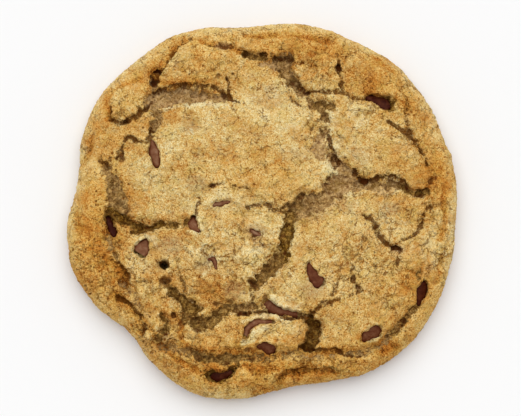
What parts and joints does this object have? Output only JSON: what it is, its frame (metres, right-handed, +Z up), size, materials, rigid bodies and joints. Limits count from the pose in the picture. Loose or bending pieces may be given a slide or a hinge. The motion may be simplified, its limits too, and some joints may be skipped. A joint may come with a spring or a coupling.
{
  "type": "chocolate chip cookie",
  "caption": "Round, thick chocolate chip cookie: a crackled disc of baked dough with a flat underside and drops of chocolate sunk in its top.",
  "frame": {"origin": "middle of the flat underside", "axes": "+Z up through the thickness; +X to the right and +Y to the back, as the crackled top is seen from above"},
  "size_m": [0.098, 0.0945, 0.0127],
  "materials": {
    "baked_dough": "golden brown baked dough, dry and crumbly, browner round the rim and underneath",
    "chocolate": "milk and dark chocolate, melted and set again, with a soft satin sheen"
  },
  "bodies": {
    "root": {"dough": "baked_dough", "chip_left_sliver": "chocolate", "chip_left_corner": "chocolate", "chip_left_pit": "chocolate", "chip_left_gap": "chocolate", "chip_centre_sliver": "chocolate", "chip_smudge": "chocolate", "chip_curl": "chocolate", "chip_right_plate": "chocolate", "chip_upper_right": "chocolate", "chip_lower_right": "chocolate", "chip_right_rim": "chocolate", "chip_long": "chocolate", "chip_crescent": "chocolate", "chip_under_crescent": "chocolate", "chip_lower_rim": "chocolate"}
  },
  "joints": []
}
